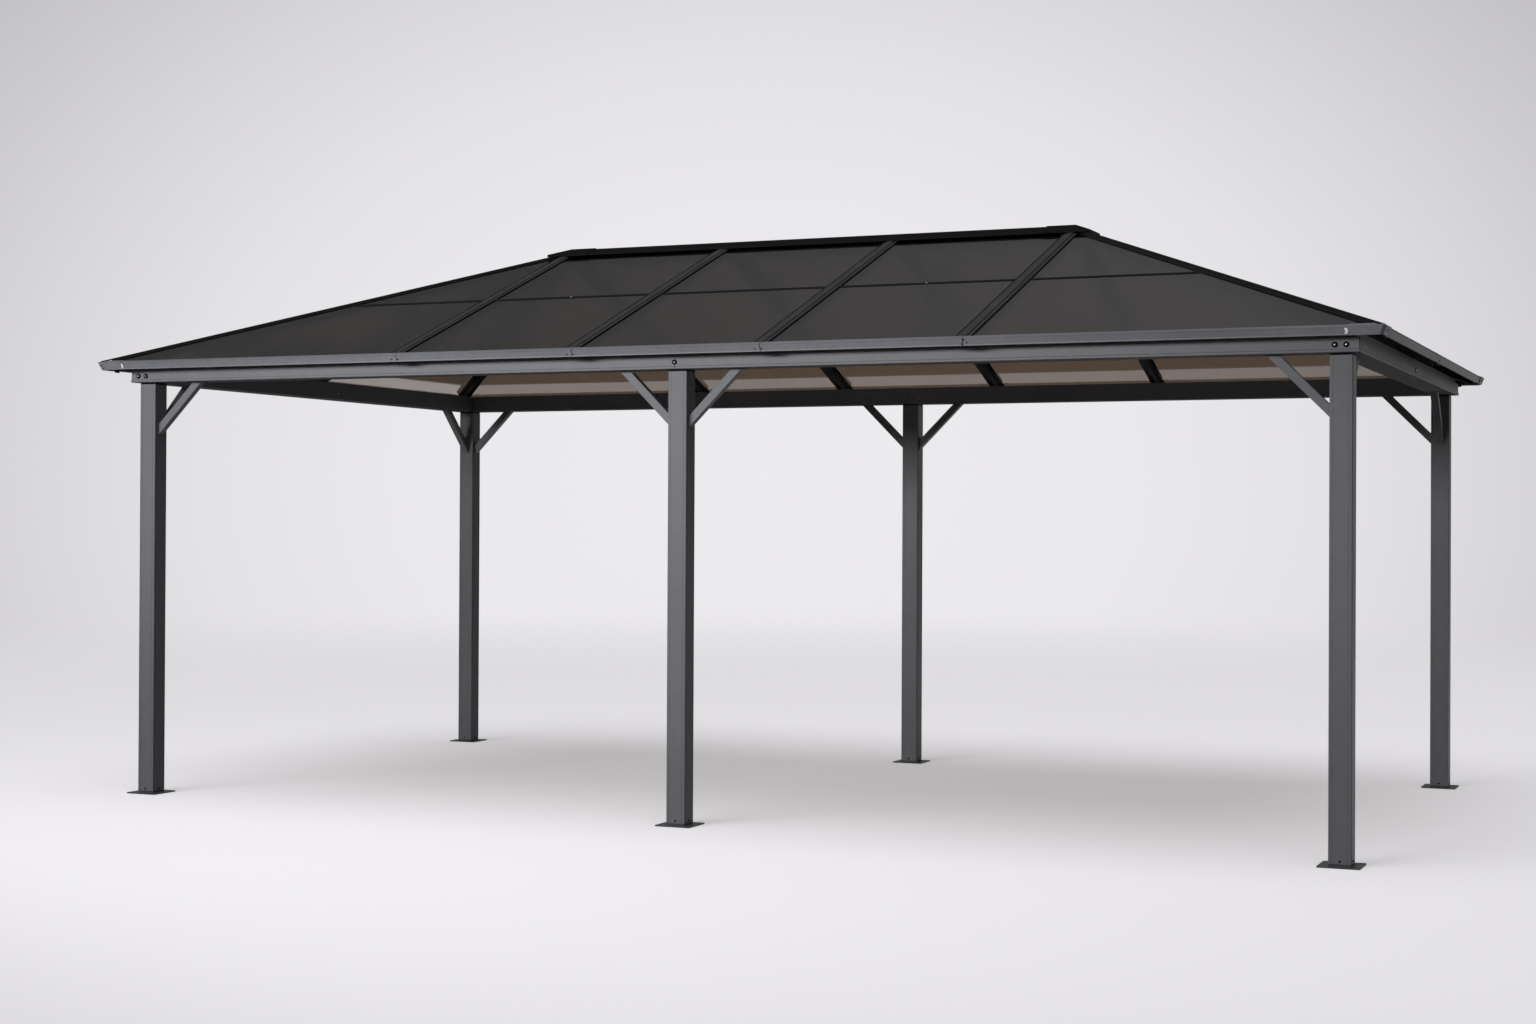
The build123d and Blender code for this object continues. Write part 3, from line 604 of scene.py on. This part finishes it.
def makeWorld():
    world = bpy.data.worlds.new("studio")
    bpy.context.scene.world = world
    world.use_nodes = True
    tree = world.node_tree
    tree.nodes.clear()
    place = addNode(tree, "TexCoord").outputs["Generated"]
    parts = addNode(tree, "SeparateXYZ", links={"Vector": place})
    height = addNode(tree, "MapRange", {"From Min": -1.0, "From Max": 1.0},
                     {"Value": parts.outputs["Z"]}).outputs["Result"]
    # a pool of light on the backdrop behind the object, which falls off towards the corners of the picture
    offset = addNode(tree, "VectorMath", {"operation": "SUBTRACT", 1: surround["poolMiddle"]}, {0: place})
    flatter = addNode(tree, "VectorMath", {"operation": "MULTIPLY", 1: surround["poolSquash"]},
                      {0: offset.outputs["Vector"]})
    away = addNode(tree, "VectorMath", {"operation": "LENGTH"}, {0: flatter.outputs["Vector"]})
    seen = addNode(tree, "ValToRGB", {"stops": surround["pool"]}, {"Fac": away.outputs["Value"]})
    backdrop = addNode(tree, "ValToRGB", {"stops": surround["backdrop"]}, {"Fac": height})
    across = addNode(tree, "MapRange", {"From Min": -1.0, "From Max": 1.0}, {"Value": parts.outputs["X"]})
    flags = addNode(tree, "ValToRGB", {"stops": surround["flags"]}, {"Fac": across.outputs["Result"]})
    flagged = addNode(tree, "VectorMath", {"operation": "MULTIPLY"},
                      {0: backdrop.outputs["Color"], 1: flags.outputs["Color"]})
    # the room in front of the object is dimmer than the backdrop
    room = addNode(tree, "MapRange",
                   {"From Min": -1.0, "From Max": -0.3, "To Min": surround["roomShade"], "To Max": 1.0},
                   {"Value": parts.outputs["Y"]})
    mirrored = addNode(tree, "VectorMath", {"operation": "SCALE"},
                       {"Vector": flagged.outputs["Vector"], "Scale": room.outputs["Result"]})
    lit = addNode(tree, "ValToRGB", {"stops": surround["lit"]}, {"Fac": height})
    path = addNode(tree, "LightPath")
    glossy = addNode(tree, "Mix", {"data_type": "RGBA"},
                     {"Factor": path.outputs["Is Glossy Ray"], "A": lit.outputs["Color"],
                      "B": mirrored.outputs["Vector"]})
    either = addNode(tree, "Math", {"operation": "MAXIMUM"},
                     {0: path.outputs["Is Camera Ray"], 1: path.outputs["Is Transmission Ray"]})
    final = addNode(tree, "Mix", {"data_type": "RGBA"},
                    {"Factor": either.outputs["Value"], "A": glossy.outputs["Result"],
                     "B": seen.outputs["Color"]})
    glow = addNode(tree, "Background", {"Strength": 1.0}, {"Color": final.outputs["Result"]})
    addNode(tree, "OutputWorld", links={"Surface": glow.outputs["Background"]})


# a wide soft light overhead, and a long light from the front left that is aimed up and spares the floor
lamps = {
    "overhead": {"kind": "SUN", "spot": (-0.1, -1.0, 6.0), "aim": (0, 0.6, 0), "power": 1.15, "angle": 60},
    "front": {"kind": "AREA", "spot": (-2.8, -8.4, 2.8), "aim": (-0.5, -1.5, 3.95), "power": 222,
              "size": (7.0, 1.0), "spread": 100},
}


def addLamp(name, look):
    lamp = bpy.data.lights.new(name, look["kind"])
    lamp.energy = look["power"]
    if look["kind"] == "SUN":
        lamp.angle = radians(look["angle"])
    else:
        lamp.shape = "RECTANGLE"
        lamp.size, lamp.size_y = look["size"]
        lamp.spread = radians(look["spread"])
    holder = bpy.data.objects.new(name, lamp)
    bpy.context.scene.collection.objects.link(holder)
    holder.location = look["spot"]
    holder.rotation_euler = (Vector(look["aim"]) - Vector(look["spot"])).to_track_quat("-Z", "Y").to_euler()
    holder.visible_camera = False


# solved from the posts, eave corners and ridge of the photo, for a frame of 1536 by 1024
shot = {"spot": (4.3592, -10.6372, 1.3176), "turn": 0.4075, "rise": 0.0059, "roll": 0.0047, "focal": 2300,
        "wide": 1536, "sensor": 36}


def makeCamera():
    lens = bpy.data.cameras.new("camera")
    lens.sensor_width = shot["sensor"]
    lens.lens = shot["focal"] / shot["wide"] * shot["sensor"]
    camera = bpy.data.objects.new("camera", lens)
    bpy.context.scene.collection.objects.link(camera)
    turn, rise, roll = shot["turn"], shot["rise"], shot["roll"]
    ahead = Vector((-sin(turn) * cos(rise), cos(turn) * cos(rise), sin(rise)))
    right = Vector((cos(turn), sin(turn), 0))
    up = right.cross(ahead)
    right, up = cos(roll) * right + sin(roll) * up, cos(roll) * up - sin(roll) * right
    camera.matrix_world = Matrix.Translation(shot["spot"]) @ Matrix((right, up, -ahead)).transposed().to_4x4()
    bpy.context.scene.camera = camera


makeFloor()
makeWorld()
for lampName, look in lamps.items():
    addLamp(lampName, look)
makeCamera()
print("floor, world, lamps and camera set")
